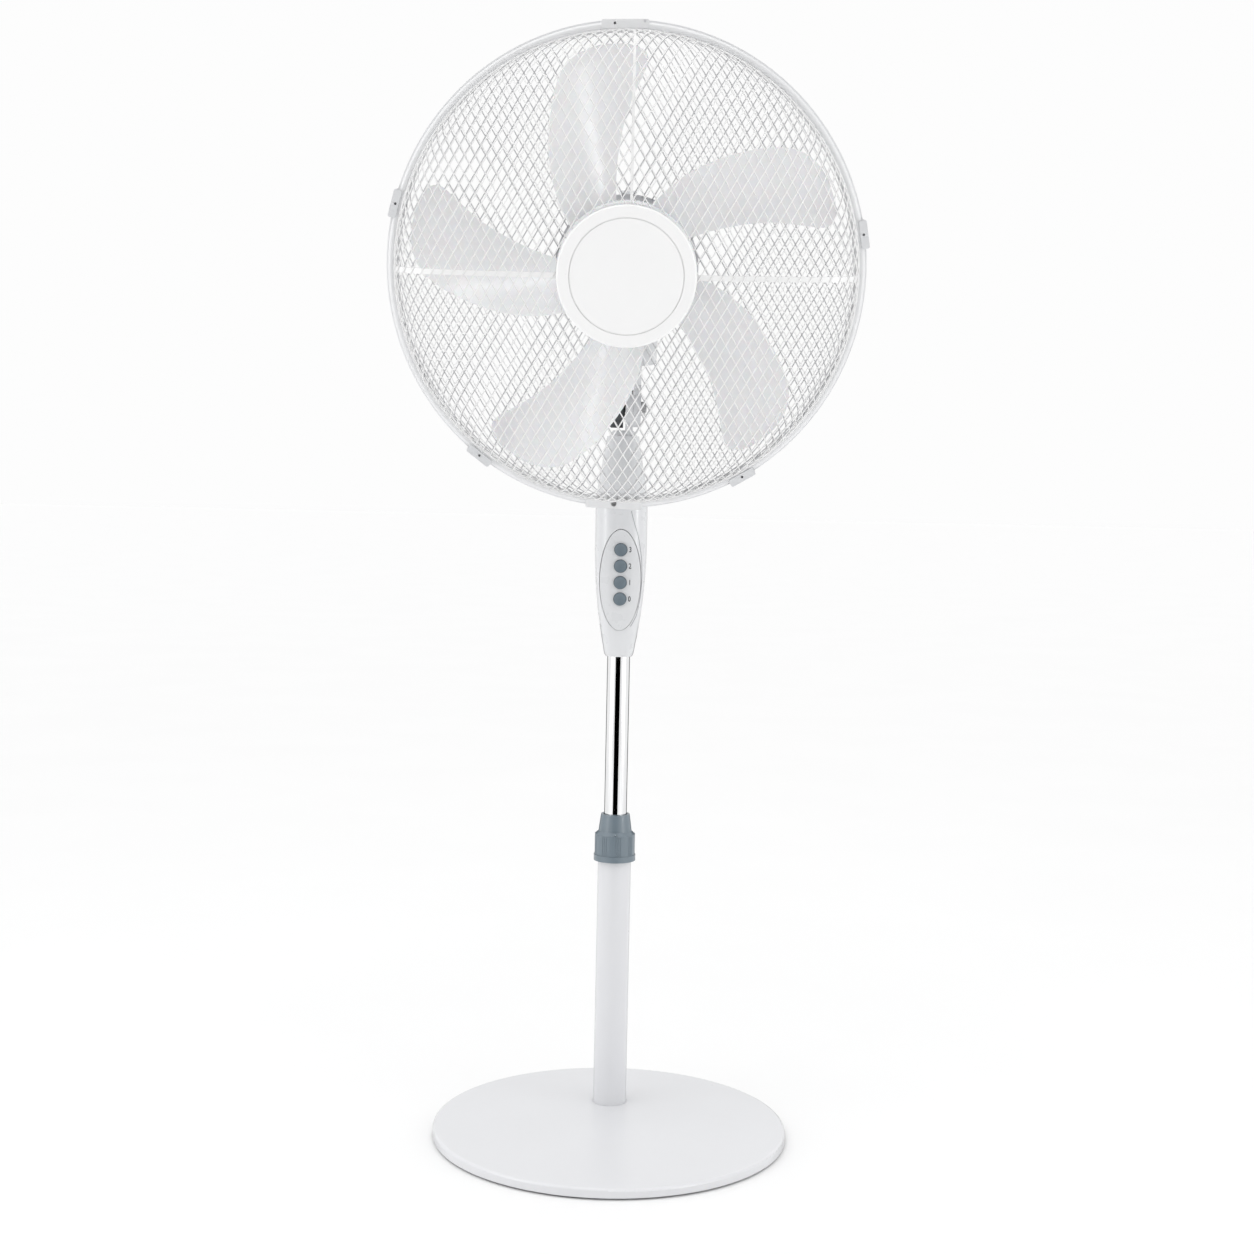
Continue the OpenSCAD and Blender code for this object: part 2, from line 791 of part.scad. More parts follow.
module motor_shaft() {
    color(steel) at_motor() difference() {
        disc(shaft_r, -46, blade_w + 42);
        translate([0, 0, blade_w - 46]) bar_x(1.5 + 0.01, -10, 10);
    }
}

module rotor_core() {
    color(steel) at_motor() ring(shaft_r + 0.01, rotor_r, -8, mount_w - 26);
}

module drive_pin() {
    color(steel) at_motor() translate([0, 0, blade_w - 46]) bar_x(1.5, -13, 13);
}

blade_rows = [0, 0.1, 0.22, 0.36, 0.5, 0.64, 0.77, 0.87, 0.94, 0.98, 1];
width_a = [[0, 21.5], [0.1, 20], [0.35, 17.2], [0.56, 15], [0.82, 13], [0.92, 11.3],
    [0.97, 8.6], [0.99, 5.8], [1, 3]];
chord = 8;

// Point on a blade: f along the radius, s across from leading (-1) to trailing (+1) edge.
function blade_point(f, s, side) =
    let (r0 = hub_r - 2, r = r0 + (blade_r - r0) * f, a = 48 - 0.18 * (r - 75) + s * pick(f, width_a),
        pitch = 40 - 19 * f, run = r * pick(f, width_a) * PI / 180 * tan(pitch),
        t = 0.5 + 0.8 * (1 - s * s), bow = 5 * (1 - s * s))
    [r * cos(a), r * sin(a), blade_w + run * s - bow + side * t];

module blade() {
    rows = len(blade_rows);
    cols = chord + 1;
    n = rows * cols;
    top = [for (f = blade_rows) for (j = [0:chord]) blade_point(f, -1 + 2 * j / chord, 1)];
    low = [for (f = blade_rows) for (j = [0:chord]) blade_point(f, -1 + 2 * j / chord, -1)];
    quads = concat(
        [for (r = [0:rows - 2]) for (c = [0:cols - 2])
            [r * cols + c, (r + 1) * cols + c, (r + 1) * cols + c + 1, r * cols + c + 1]],
        [for (r = [0:rows - 2]) for (c = [0:cols - 2])
            [n + r * cols + c, n + r * cols + c + 1, n + (r + 1) * cols + c + 1,
                n + (r + 1) * cols + c]],
        [for (c = [0:cols - 2]) [c, c + 1, n + c + 1, n + c]],
        [for (c = [0:cols - 2]) let (b = (rows - 1) * cols)
            [b + c, n + b + c, n + b + c + 1, b + c + 1]],
        [for (r = [0:rows - 2]) [r * cols, n + r * cols, n + (r + 1) * cols, (r + 1) * cols]],
        [for (r = [0:rows - 2]) let (e = cols - 1)
            [r * cols + e, (r + 1) * cols + e, n + (r + 1) * cols + e, n + r * cols + e]]);
    polyhedron(points = concat(top, low),
        faces = [for (q = quads) for (h = [0, 1])
            h == 0 ? [q[2], q[1], q[0]] : [q[3], q[2], q[0]]]);
}

module fan_blade() {
    color([0.86, 0.87, 0.88]) at_motor() difference() {
        union() {
            difference() {
                disc(hub_r, blade_w - 30, blade_w + 24);
                disc(hub_r - 2.5, blade_w - 31, blade_w + 21.5);
            }
            disc(9, blade_w - 46, blade_w + 23);
            for (i = [0:5])
                rotate([0, 0, 60 * i]) translate([6, -1, blade_w - 26]) cube([hub_r - 7, 2, 48]);
            for (i = [0:4])
                rotate([0, 0, 72 * i]) blade();
        }
        disc(shaft_r + 0.02, blade_w - 60, blade_w + 40);
        translate([0, 0, blade_w - 46]) bar_x(1.6, -20, 20);
        translate([-20, -1.6, blade_w - 50]) cube([40, 3.2, 4]);
    }
}

module spinner_nut() {
    color(dark) at_motor() difference() {
        union() {
            disc(20, blade_w + 24.05, blade_w + 28);
            translate([0, 0, blade_w + 28]) cylinder(r1 = 17, r2 = 13, h = 15);
        }
        disc(shaft_r + 0.02, blade_w + 20, blade_w + 42.1);
    }
}

module clutch_knob() {
    color(white) at_motor() translate([0, 0, -50]) union() {
        bar_y(3, 9, motor_r + 6);
        bar_y(6, motor_r + 2, motor_r + 5);
        bar_y(9, motor_r + 4, motor_r + 9.5);
    }
}

module swing_crank() {
    color(steel) at_motor() translate([0, 0, -crank_back]) union() {
        bar_y(4, gear_low - 3, gear_low + 13.5);
        bar_y(8, crank_y, gear_low - 1);
        translate([-5, crank_y, -crank_arm]) cube([10, 6, crank_arm]);
        translate([0, 0, -crank_arm]) bar_y(5, crank_y, crank_y + 6);
        translate([0, 0, -crank_arm]) bar_y(3, pan_y - 4.6, crank_y + 1);
    }
}

base_cover();
base_weight();
foot_ring();
tube_plug();
base_screw();
lower_tube();
collar_seat();
height_collar();
inner_tube();
tube_bush();
housing_front();
housing_rear();
control_panel();
switch_block();
housing_screws();
cord_gland();
neck_core();
button_0();
button_1();
button_2();
button_3();
tilt_knob();
tilt_stud();
tilt_bracket();
tilt_nut();
pan_pin();
motor_front_plate();
motor_frame();
stator_core();
stator_windings();
shaft_bushes();
gearbox_case();
motor_cover();
cover_screw();
grille_nut();
rear_plate();
rear_mesh();
rear_rim();
front_mesh();
front_rim();
front_ribs();
front_plate();
medallion();
rim_screw();
motor_shaft();
rotor_core();
fan_blade();
spinner_nut();
drive_pin();
clutch_knob();
swing_crank();
clip_left();
clip_right();
clip_low_left();
clip_low_right();
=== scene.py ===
import json
import math

import bpy
import numpy as np
from mathutils import Matrix, Vector


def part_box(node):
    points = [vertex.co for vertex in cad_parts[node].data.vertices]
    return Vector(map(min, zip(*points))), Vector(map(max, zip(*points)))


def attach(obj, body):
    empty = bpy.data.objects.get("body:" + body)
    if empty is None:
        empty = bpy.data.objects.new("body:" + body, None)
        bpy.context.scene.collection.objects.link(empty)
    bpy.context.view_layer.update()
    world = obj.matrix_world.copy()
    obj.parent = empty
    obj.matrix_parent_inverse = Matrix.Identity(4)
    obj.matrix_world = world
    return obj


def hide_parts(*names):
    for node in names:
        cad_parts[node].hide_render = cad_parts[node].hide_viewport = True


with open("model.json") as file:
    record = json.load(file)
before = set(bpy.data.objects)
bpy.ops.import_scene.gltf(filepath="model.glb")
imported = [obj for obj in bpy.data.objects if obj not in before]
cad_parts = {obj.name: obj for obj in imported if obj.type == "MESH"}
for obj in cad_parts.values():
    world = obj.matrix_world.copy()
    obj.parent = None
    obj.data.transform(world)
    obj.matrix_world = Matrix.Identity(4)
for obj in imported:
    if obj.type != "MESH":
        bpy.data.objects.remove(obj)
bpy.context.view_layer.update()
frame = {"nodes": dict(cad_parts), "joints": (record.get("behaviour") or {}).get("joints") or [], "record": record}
nodes = frame["nodes"]
joints = {j["name"]: j for j in frame["joints"]}
scene = bpy.context.scene

# ---------- places read from the frame ----------

pivot = Vector(joints["head_tilt"]["pos_m"])
head_up = Vector(joints["head_swing"]["axis"]).normalized()
head_forward = Vector(joints["blade_spin"]["axis"]).normalized()
head_right = head_up.cross(head_forward)
motor_up = (Vector(joints["blade_spin"]["pos_m"]) - pivot).dot(head_up)
motor_at = pivot + head_up * motor_up
# Head space: x to the right, y up, z forward along the shaft, origin on the swing axis.
HEAD = Matrix.Translation(motor_at) @ Matrix((head_right, head_up, head_forward)).transposed().to_4x4()
pole_at = Vector((0, pivot.y, 0))
POLE = Matrix.Translation(pole_at)


def points_of(node, space):
    """Points of a CAD node in one of the spaces above."""
    back = space.inverted()
    return np.array([back @ v.co for v in nodes[node].data.vertices])


def turned_span(node):
    """(largest radius, lowest z, highest z) of a turned node in head space."""
    p = points_of(node, HEAD)
    return float(np.hypot(p[:, 0], p[:, 1]).max()), float(p[:, 2].min()), float(p[:, 2].max())


# ---------- materials ----------

def link(tree, a, b):
    tree.links.new(a, b)


def new_material(name):
    material = bpy.data.materials.new(name)
    material.use_nodes = True
    tree = material.node_tree
    shader = tree.nodes["Principled BSDF"]
    return material, tree, shader


def noise(tree, scale, detail=3.0, stretch=(1, 1, 1)):
    """Noise in object space; scale is in features per metre."""
    place = tree.nodes.new("ShaderNodeTexCoord")
    mapping = tree.nodes.new("ShaderNodeMapping")
    mapping.inputs["Scale"].default_value = stretch
    texture = tree.nodes.new("ShaderNodeTexNoise")
    texture.inputs["Scale"].default_value = scale
    texture.inputs["Detail"].default_value = detail
    link(tree, place.outputs["Object"], mapping.inputs["Vector"])
    link(tree, mapping.outputs["Vector"], texture.inputs["Vector"])
    return texture.outputs["Fac"]


def wave(tree, scale, along, distortion):
    """Parallel bands in object space."""
    place = tree.nodes.new("ShaderNodeTexCoord")
    texture = tree.nodes.new("ShaderNodeTexWave")
    texture.bands_direction = along
    texture.inputs["Scale"].default_value = scale
    texture.inputs["Distortion"].default_value = distortion
    link(tree, place.outputs["Object"], texture.inputs["Vector"])
    return texture.outputs["Fac"]


def spread(tree, fac, low, high):
    """Maps a 0 to 1 pattern to the range low to high."""
    node = tree.nodes.new("ShaderNodeMapRange")
    node.inputs["To Min"].default_value = low
    node.inputs["To Max"].default_value = high
    link(tree, fac, node.inputs["Value"])
    return node.outputs["Result"]


def tint(tree, fac, a, b):
    """Mixes two colours by a 0 to 1 pattern."""
    ramp = tree.nodes.new("ShaderNodeValToRGB")
    ramp.color_ramp.elements[0].position = 0.3
    ramp.color_ramp.elements[0].color = (*a, 1)
    ramp.color_ramp.elements[1].position = 0.7
    ramp.color_ramp.elements[1].color = (*b, 1)
    link(tree, fac, ramp.inputs["Fac"])
    return ramp.outputs["Color"]


def edge_shade(tree, colour, amount):
    """Darkens a colour where the surface turns away, as a white object looks against a white studio."""
    weight = tree.nodes.new("ShaderNodeLayerWeight")
    fall = tree.nodes.new("ShaderNodeMapRange")
    fall.inputs["From Min"].default_value = 0.60
    fall.inputs["From Max"].default_value = 0.95
    fall.inputs["To Min"].default_value = 1.0
    fall.inputs["To Max"].default_value = 1.0 - amount
    link(tree, weight.outputs["Facing"], fall.inputs["Value"])
    scale = tree.nodes.new("ShaderNodeVectorMath")
    scale.operation = "SCALE"
    link(tree, colour, scale.inputs[0])
    link(tree, fall.outputs["Result"], scale.inputs["Scale"])
    return scale.outputs["Vector"]


def bump(tree, shader, height, distance):
    """Raises the surface by a pattern; distance is the full height in metres."""
    node = tree.nodes.new("ShaderNodeBump")
    node.inputs["Strength"].default_value = 1.0
    node.inputs["Distance"].default_value = distance
    link(tree, height, node.inputs["Height"])
    link(tree, node.outputs["Normal"], shader.inputs["Normal"])


def shade(colour, amount):
    return tuple(c * amount for c in colour)


def moulded(name, colour, rough, grain_mm=0.6, depth_mm=0.01, mottle=0.02, coat=0.0):
    """Moulded plastic: faint colour drift, fine grain, uneven gloss."""
    material, tree, shader = new_material(name)
    drift = noise(tree, 14, 2)
    base = tint(tree, drift, shade(colour, 1 - mottle), shade(colour, 1 + mottle))
    link(tree, edge_shade(tree, base, 0.35), shader.inputs["Base Color"])
    link(tree, spread(tree, noise(tree, 60, 4), rough * 0.8, rough * 1.25), shader.inputs["Roughness"])
    bump(tree, shader, noise(tree, 1000 / grain_mm, 2), depth_mm / 1000)
    shader.inputs["Coat Weight"].default_value = coat
    shader.inputs["Coat Roughness"].default_value = 0.08
    return material


def enamel(name, colour, rough):
    """Stove enamel: slow orange-peel ripple under a hard gloss."""
    material, tree, shader = new_material(name)
    base = tint(tree, noise(tree, 9, 2), shade(colour, 0.99), shade(colour, 1.01))
    link(tree, edge_shade(tree, base, 0.35), shader.inputs["Base Color"])
    link(tree, spread(tree, noise(tree, 90, 3), rough * 0.8, rough * 1.3), shader.inputs["Roughness"])
    bump(tree, shader, noise(tree, 420, 2), 0.00004)
    shader.inputs["Coat Weight"].default_value = 0.25
    shader.inputs["Coat Roughness"].default_value = 0.12
    return material


def metal(name, colour, rough, stretch, streaks=700, depth_mm=0.004, edge=0.2):
    """Metal with drawn or brushed streaks along one direction."""
    material, tree, shader = new_material(name)
    streak = noise(tree, streaks, 4, stretch)
    base = tint(tree, streak, shade(colour, 0.95), colour)
    link(tree, edge_shade(tree, base, edge), shader.inputs["Base Color"])
    link(tree, spread(tree, streak, rough * 0.7, rough * 1.4), shader.inputs["Roughness"])
    shader.inputs["Metallic"].default_value = 1.0
    bump(tree, shader, streak, depth_mm / 1000)
    return material


def rough_casting(name, colour, rough, metallic):
    """Cast surface: strong fine grain in colour and height."""
    material, tree, shader = new_material(name)
    grain = noise(tree, 900, 5)
    link(tree, tint(tree, grain, shade(colour, 0.85), shade(colour, 1.1)), shader.inputs["Base Color"])
    link(tree, spread(tree, grain, rough * 0.8, rough * 1.2), shader.inputs["Roughness"])
    shader.inputs["Metallic"].default_value = metallic
    bump(tree, shader, grain, 0.0002)
    return material


def wound(name, colour, along, turns_per_m, metallic, rough):
    """Coil turns or stacked laminations: fine parallel ridges."""
    material, tree, shader = new_material(name)
    ridges = wave(tree, turns_per_m / 20, along, 0.4)
    link(tree, tint(tree, ridges, shade(colour, 0.6), colour), shader.inputs["Base Color"])
    link(tree, spread(tree, noise(tree, 300, 3), rough * 0.8, rough * 1.2), shader.inputs["Roughness"])
    shader.inputs["Metallic"].default_value = metallic
    bump(tree, shader, ridges, 0.0004)
    return material


def blade_plastic():
    """Frosted grey-white resin: glossy skin, a little light coming through, faint flow marks."""
    material, tree, shader = new_material("blade_resin")
    flow = noise(tree, 25, 3)
    link(tree, tint(tree, flow, (0.89, 0.90, 0.915), (0.91, 0.92, 0.935)), shader.inputs["Base Color"])
    link(tree, spread(tree, noise(tree, 120, 3), 0.10, 0.18), shader.inputs["Roughness"])
    bump(tree, shader, noise(tree, 160, 2), 0.00006)
    shader.inputs["Subsurface Weight"].default_value = 0.15
    shader.inputs["Subsurface Scale"].default_value = 0.004
    shader.inputs["Coat Weight"].default_value = 0.5
    shader.inputs["Coat Roughness"].default_value = 0.05
    return material


WHITE = (0.775, 0.785, 0.80)
materials = {
    "white_gloss": moulded("white_gloss", WHITE, 0.28, mottle=0.006, coat=0.3),
    # Medallion white: partly a whiter plastic, partly painted light for the strong light on its forward face.
    "white_painted_light": moulded("white_painted_light", (0.985, 0.985, 0.985), 0.3, mottle=0.003, coat=0.2),
    "white_paint": enamel("white_paint", (0.765, 0.77, 0.79), 0.3),
    "rim_white": enamel("rim_white", (0.85, 0.855, 0.865), 0.3),
    "wire_white": enamel("wire_white", (0.95, 0.95, 0.95), 0.3),
    # Rear grille wires: the same white wire darkened, painted shade for the grille that sits behind in shadow.
    "wire_painted_shade": enamel("wire_painted_shade", (0.74, 0.74, 0.75), 0.4),
    # Dark grey for the housing crease: painted shade along the crease.
    "crease_painted_shade": moulded("crease_painted_shade", (0.42, 0.43, 0.45), 0.5),
    # Dark grey for the blade edges: painted shade, the dark outline that a thin translucent edge shows.
    "blade_edge_painted_shade": moulded("blade_edge_painted_shade", (0.42, 0.43, 0.45), 0.3),
    "iron": rough_casting("iron", (0.10, 0.10, 0.105), 0.7, 0.6),
    "rubber": moulded("rubber", (0.03, 0.03, 0.032), 0.7, 0.5, 0.03),
    "steel": metal("steel", (0.62, 0.62, 0.63), 0.28, (1, 1, 8)),
    "chrome": metal("chrome", (0.86, 0.865, 0.87), 0.05, (1, 1, 0.04), 900, 0.0006, 0.9),
    "slate": moulded("slate", (0.165, 0.21, 0.245), 0.36, 0.5, 0.015, coat=0.3),
    "charcoal": moulded("charcoal", (0.075, 0.08, 0.085), 0.45, 0.5, 0.02),
    "natural": moulded("natural", (0.68, 0.66, 0.60), 0.5, 0.8, 0.01),
    "blade": blade_plastic(),
    "alloy": rough_casting("alloy", (0.52, 0.53, 0.54), 0.45, 0.9),
    "bronze": rough_casting("bronze", (0.50, 0.36, 0.16), 0.45, 1.0),
    "copper": wound("copper", (0.62, 0.28, 0.12), "Z", 900, 0.8, 0.35),
    "digit": moulded("digit", (0.02, 0.022, 0.025), 0.5),
}
laminations = wound("laminations", (0.42, 0.42, 0.43), "Y", 2000, 0.9, 0.4)

finishes = {"stator_core": laminations, "rotor_core": laminations, "medallion": materials["white_painted_light"],
            "front_rim": materials["rim_white"], "rear_rim": materials["rim_white"]}
slot_of = {row["node"]: row["material_slot"] for row in frame["record"]["subparts"]}
for name, node in nodes.items():
    chosen = finishes.get(name, materials[slot_of[name]])
    node.data.materials.clear()
    node.data.materials.append(chosen)


# ---------- mesh helpers ----------

def make_piece(name, verts, faces, body, slot, space, replaced=()):
    """New object from points in a space; it rides on a body and may replace CAD nodes."""
    mesh = bpy.data.meshes.new(name)
    mesh.from_pydata([tuple(v) for v in verts], [], [tuple(f) for f in faces])
    mesh.transform(space)
    mesh.validate()
    mesh.update()
    mesh.shade_smooth()
    mesh.materials.append(materials[slot])
    piece = bpy.data.objects.new(name, mesh)
    scene.collection.objects.link(piece)
    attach(piece, body)
    if replaced:
        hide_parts(*replaced)
    return piece


class Solid:
    """Collects points and faces of one piece."""

    def __init__(self):
        self.verts = []
        self.faces = []

    def tube(self, path, radius, sides=4):
        """Round wire along a list of points."""
        path = np.asarray(path, float)
        step = np.gradient(path, axis=0)
        step /= np.linalg.norm(step, axis=1)[:, None]
        side = np.cross(step, np.array([0.0, 0.0, 1.0]))
        length = np.linalg.norm(side, axis=1)[:, None]
        side = side / np.maximum(length, 1e-9)
        up = np.cross(side, step)
        base = len(self.verts)
        for p, a, b in zip(path, side, up):
            for k in range(sides):
                t = 2 * math.pi * (k + 0.25) / sides
                self.verts.append(p + radius * (math.cos(t) * a + math.sin(t) * b))
        for i in range(len(path) - 1):
            for k in range(sides):
                m = (k + 1) % sides
                self.faces.append((base + i * sides + k, base + i * sides + m,
                                   base + (i + 1) * sides + m, base + (i + 1) * sides + k))
        self.faces.append(tuple(base + k for k in reversed(range(sides))))
        last = base + (len(path) - 1) * sides
        self.faces.append(tuple(last + k for k in range(sides)))

    def grid(self, rows, closed=False, flip=False):
        """Quads over a list of equally long rows of points."""
        base, cols = len(self.verts), len(rows[0])
        for row in rows:
            self.verts.extend(row)
        for i in range(len(rows) - 1):
            for j in range(cols if closed else cols - 1):
                k = (j + 1) % cols
                quad = (base + i * cols + j, base + i * cols + k,
                        base + (i + 1) * cols + k, base + (i + 1) * cols + j)
                self.faces.append(quad[::-1] if flip else quad)
        return base


# ---------- wire mesh of the cage ----------

WIRE_RADIUS = 0.00068
WIRE_PITCH = 0.0093
WIRE_LEAN = math.radians(30.5)
WIRE_STEP = 0.0075
FRONT_HOLE_R = 0.061
REAR_HOLE_R = 0.072


def dome_profile(rim, w_rim, depth, side):
    """Points (radius, z, arc length) from the middle of a grille to its rim."""
    x = 1 - (1 - np.linspace(0, 1, 500)) ** 3
    rise = (1 - x ** 3.5) ** 0.27
    r = rim * x
    z = w_rim + side * depth * rise
    arc = np.concatenate([[0], np.cumsum(np.hypot(np.diff(r), np.diff(z)))])
    return r, z, arc


def wire_grille(name, node, side, inner, finish):
    """Two crossed families of wires draped over the dome of a grille."""
    rim, low, high = turned_span(node)
    w_rim, depth = (low, high - low) if side > 0 else (high, high - low)
    r_of, z_of, arc = dome_profile(rim - 0.0009, w_rim, depth - 0.0009, side)
    limit = arc[-1]
    start = np.interp(inner, r_of, arc)
    solid = Solid()
    count = int(limit / WIRE_PITCH) + 1
    for family in (-1, 1):
        lean = family * WIRE_LEAN
        along = np.array([math.sin(lean), math.cos(lean)])
        across = np.array([along[1], -along[0]])
        lift = family * 0.0004
        for k in range(-count, count + 1):
            offset = (k + 0.5) * WIRE_PITCH
            if abs(offset) >= limit - 0.002:
                continue
            reach = math.sqrt(limit ** 2 - offset ** 2)
            hole = math.sqrt(max(start ** 2 - offset ** 2, 0))
            runs = [(-reach, -hole), (hole, reach)] if hole > 0 else [(-reach, reach)]
            for t0, t1 in runs:
                t = np.linspace(t0, t1, max(3, int((t1 - t0) / WIRE_STEP)))
                flat = offset * across[None, :] + t[:, None] * along[None, :]
                s = np.hypot(flat[:, 0], flat[:, 1])
                r, z = np.interp(s, arc, r_of), np.interp(s, arc, z_of) + side * lift
                outward = lift * np.clip((s - 0.8 * limit) / (0.2 * limit), 0, 1)
                scale = (r + outward) / np.maximum(s, 1e-9)
                solid.tube(np.column_stack([flat * scale[:, None], z]), WIRE_RADIUS)
    piece = make_piece(name, solid.verts, solid.faces, "head", "wire_white", HEAD, [node])
    piece.data.materials[0] = materials[finish]


wire_grille("front_mesh_wires", "front_mesh", 1, FRONT_HOLE_R, "wire_white")
# The rear grille takes the darker wire finish, which is painted shade.
wire_grille("rear_mesh_wires", "rear_mesh", -1, REAR_HOLE_R, "wire_painted_shade")


# ---------- blades ----------

def smooth_lookup(x, table):
    """Monotone cubic through (x, y) pairs."""
    xs, ys = np.array(table, float).T
    h = np.diff(xs)
    d = np.diff(ys) / h
    m = np.zeros(len(xs))
    m[0], m[-1] = d[0], d[-1]
    for i in range(1, len(d)):
        if d[i - 1] * d[i] > 0:
            m[i] = 2 * d[i - 1] * d[i] / (d[i - 1] + d[i])
    x = np.clip(x, xs[0], xs[-1])
    i = np.clip(np.searchsorted(xs, x) - 1, 0, len(h) - 1)
    t = (x - xs[i]) / h[i]
    return ((2 * t ** 3 - 3 * t ** 2 + 1) * ys[i] + (t ** 3 - 2 * t ** 2 + t) * h[i] * m[i]
            + (3 * t ** 2 - 2 * t ** 3) * ys[i + 1] + (t ** 3 - t ** 2) * h[i] * m[i + 1])


# Half of a blade's width in degrees, against the share of the way from hub to tip.
HALF_WIDTH = [(0, 21.5), (0.1, 20), (0.35, 17.2), (0.56, 15), (0.82, 13), (0.90, 11.8),
              (0.95, 9.8), (0.98, 7.1), (1, 3)]
BLADES = 5
START_ANGLE = 48
SWEEP_PER_M = 180
SWEEP_FROM_R = 0.075
ROOT_PITCH = 40
PITCH_FALL = 19
ROOT_SUNK = 0.002
BOW = 0.005
EDGE_HALF_THICK = 0.0006
EXTRA_HALF_THICK = 0.0007
BLADE_MID = 0.046
NOSE_UP = 0.024
NOSE_ROUND = 0.004
HUB_LOW = 0.030
HUB_WALL = 0.0025
BOSS_R = 0.009
SHAFT_R = 0.0041
RIB_HALF = 0.001


def blade_surface(f, s, side, hub, tip, mid):
    """f along the radius, s across from -1 to 1; f and s are arrays."""
    r = (hub - ROOT_SUNK) + (tip - hub + ROOT_SUNK) * f
    width = smooth_lookup(f, HALF_WIDTH)
    angle = np.radians(START_ANGLE - SWEEP_PER_M * (r - SWEEP_FROM_R) + s * width)
    pitch = np.radians(ROOT_PITCH - PITCH_FALL * f)
    run = r * np.radians(width) * np.tan(pitch)
    bow = BOW * (1 - s * s)
    thick = EDGE_HALF_THICK + EXTRA_HALF_THICK * np.sqrt(np.maximum(1 - s ** 4, 0))
    return np.column_stack([r * np.cos(angle), r * np.sin(angle),
                            mid + run * s - bow + side * thick])


def rim_ring(rows, cols):
    """Grid positions once round the edge of a grid."""
    return ([(i, 0) for i in range(rows)] + [(rows - 1, j) for j in range(1, cols)]
            + [(i, cols - 1) for i in range(rows - 2, -1, -1)] + [(0, j) for j in range(cols - 2, 0, -1)])


def add_blade(solid, edges, turn, hub, tip, mid):
    """One blade as two skins; the faces of its edge are noted in edges."""
    rows, cols = 44, 26
    f = 1 - (1 - np.linspace(0, 1, rows)) ** 1.35
    s = np.sin(np.linspace(-math.pi / 2, math.pi / 2, cols))
    front, back = [[blade_surface(np.full(cols, a), s, side, hub, tip, mid) @ turn for a in f]
                   for side in (1, -1)]
    top = solid.grid(front)
    low_side = solid.grid(back, flip=True)
    ring = rim_ring(rows, cols)
    for (i, j), (m, n) in zip(ring, ring[1:] + ring[:1]):
        edges.append(len(solid.faces))
        solid.faces.append((top + i * cols + j, top + m * cols + n,
                            low_side + m * cols + n, low_side + i * cols + j))


def add_hub(solid, hub, low, mid, high):
    """Turned cup with a rounded nose, and the boss on the shaft."""
    skirt = mid - HUB_LOW
    outer = [(hub, skirt), (hub, high - NOSE_ROUND)]
    outer += [(hub - NOSE_ROUND + NOSE_ROUND * math.cos(a), high - NOSE_ROUND + NOSE_ROUND * math.sin(a))
              for a in np.linspace(0, math.pi / 2, 7)]
    outer += [(BOSS_R, high), (BOSS_R, high - 0.001), (SHAFT_R, high - 0.001), (SHAFT_R, low)]
    outer += [(BOSS_R, low), (BOSS_R, high - HUB_WALL)]
    outer += [(hub - HUB_WALL, high - HUB_WALL - 0.001), (hub - HUB_WALL, skirt)]
    around = [2 * math.pi * i / 96 for i in range(96)]
    rings = [[np.array([r * math.cos(a), r * math.sin(a), z]) for a in around] for r, z in outer]
    solid.grid(rings + rings[:1], closed=True)


def add_rib(solid, a, hub, mid, high):
    """Flat rib from the boss to the wall of the hub, at angle a."""
    along = np.array([math.cos(a), math.sin(a), 0])
    across = np.array([-math.sin(a), math.cos(a), 0])
    foot, head = mid - HUB_LOW + 0.004, high - 0.003
    outline = ((BOSS_R - 0.001, foot), (hub - 0.002, foot), (hub - 0.002, head), (BOSS_R - 0.001, head))
    base = len(solid.verts)
    for y in (-RIB_HALF, RIB_HALF):
        solid.verts.extend([along * r + across * y + np.array([0, 0, z]) for r, z in outline])
    solid.faces.append((base + 3, base + 2, base + 1, base))
    solid.faces.append((base + 4, base + 5, base + 6, base + 7))
    for j in range(4):
        k = (j + 1) % 4
        solid.faces.append((base + j, base + k, base + 4 + k, base + 4 + j))


def propeller():
    """Five blades on a hub; the faces round each blade's edge are dark grey, a painted shade line."""
    p = points_of("fan_blade", HEAD)
    radius = np.hypot(p[:, 0], p[:, 1])
    tip = float(radius.max())
    low = float(p[:, 2].min())
    mid = low + BLADE_MID
    high = mid + NOSE_UP
    at_nose = (abs(p[:, 2] - high) < 0.0002) & (radius < 0.08)
    hub = float(radius[at_nose].max())
    solid = Solid()
    edges = []
    for k in range(BLADES):
        spin = 2 * math.pi * k / BLADES
        c, n = math.cos(spin), math.sin(spin)
        add_blade(solid, edges, np.array([[c, n, 0], [-n, c, 0], [0, 0, 1]]), hub, tip, mid)
    add_hub(solid, hub, low, mid, high)
    for i in range(6):
        add_rib(solid, math.radians(60 * i), hub, mid, high)
    piece = make_piece("propeller", solid.verts, solid.faces, "fan", "blade", HEAD, ["fan_blade"])
    # Painted shade: the edge faces take the dark grey.
    piece.data.materials.append(materials["blade_edge_painted_shade"])
    for i in edges:
        piece.data.polygons[i].material_index = 1
    piece.data.set_sharp_from_angle(angle=math.radians(40))


propeller()


# ---------- control housing ----------

